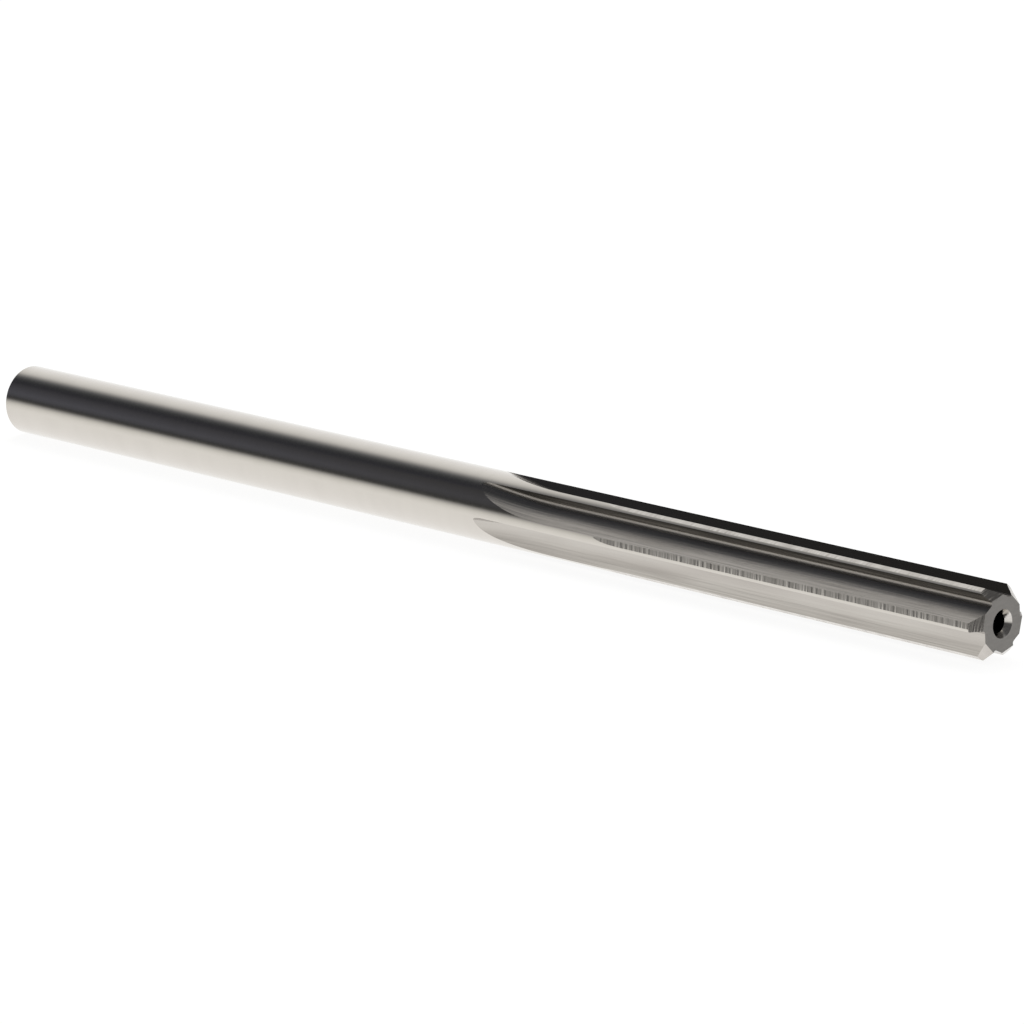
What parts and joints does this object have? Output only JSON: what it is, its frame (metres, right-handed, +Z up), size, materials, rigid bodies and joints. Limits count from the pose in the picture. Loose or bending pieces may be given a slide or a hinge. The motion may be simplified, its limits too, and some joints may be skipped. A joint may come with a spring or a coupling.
{
  "type": "machine reamer",
  "caption": "Straight-shank machine reamer with straight flutes, a 45 degree lead and centred ends, ground from one bar of high-speed steel.",
  "frame": {"origin": "under the middle of the tool's length, on the surface it lies on", "axes": "+X along the tool's axis towards the cutting end, +Z up, +Y completes the right-handed frame"},
  "size_m": [0.0888, 0.0048, 0.0048],
  "materials": {
    "tool_steel": "bright ground high-speed steel"
  },
  "bodies": {
    "root": {"reamer": "tool_steel"}
  },
  "joints": []
}
